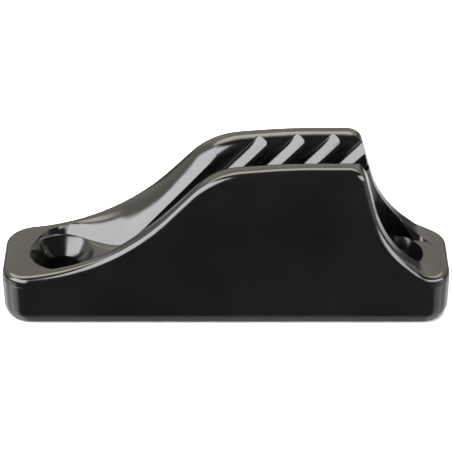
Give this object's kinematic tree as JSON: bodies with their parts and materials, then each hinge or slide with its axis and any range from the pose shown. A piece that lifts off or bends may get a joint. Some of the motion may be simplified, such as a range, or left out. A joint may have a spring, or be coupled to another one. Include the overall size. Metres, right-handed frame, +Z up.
{
  "type": "jam cleat",
  "caption": "Moulded V-groove jam cleat with slanting teeth on both groove walls, a chute at the loaded end and a countersunk screw hole at each end of its flange.",
  "frame": {"origin": "middle of the mounting face, on the surface that the cleat is screwed to", "axes": "+Z up out of the deck; +X along the cleat towards its steep end, where the free tail leaves; +Y towards the rear cheek"},
  "size_m": [0.065, 0.0152, 0.0253],
  "materials": {
    "moulding": "black nylon, moulded to a gloss"
  },
  "bodies": {
    "root": {"base_flange": "moulding", "load_end_pad": "moulding", "tail_end_pad": "moulding", "channel_web": "moulding", "front_cheek": "moulding", "rear_cheek": "moulding", "front_teeth": "moulding", "rear_teeth": "moulding"}
  },
  "joints": []
}
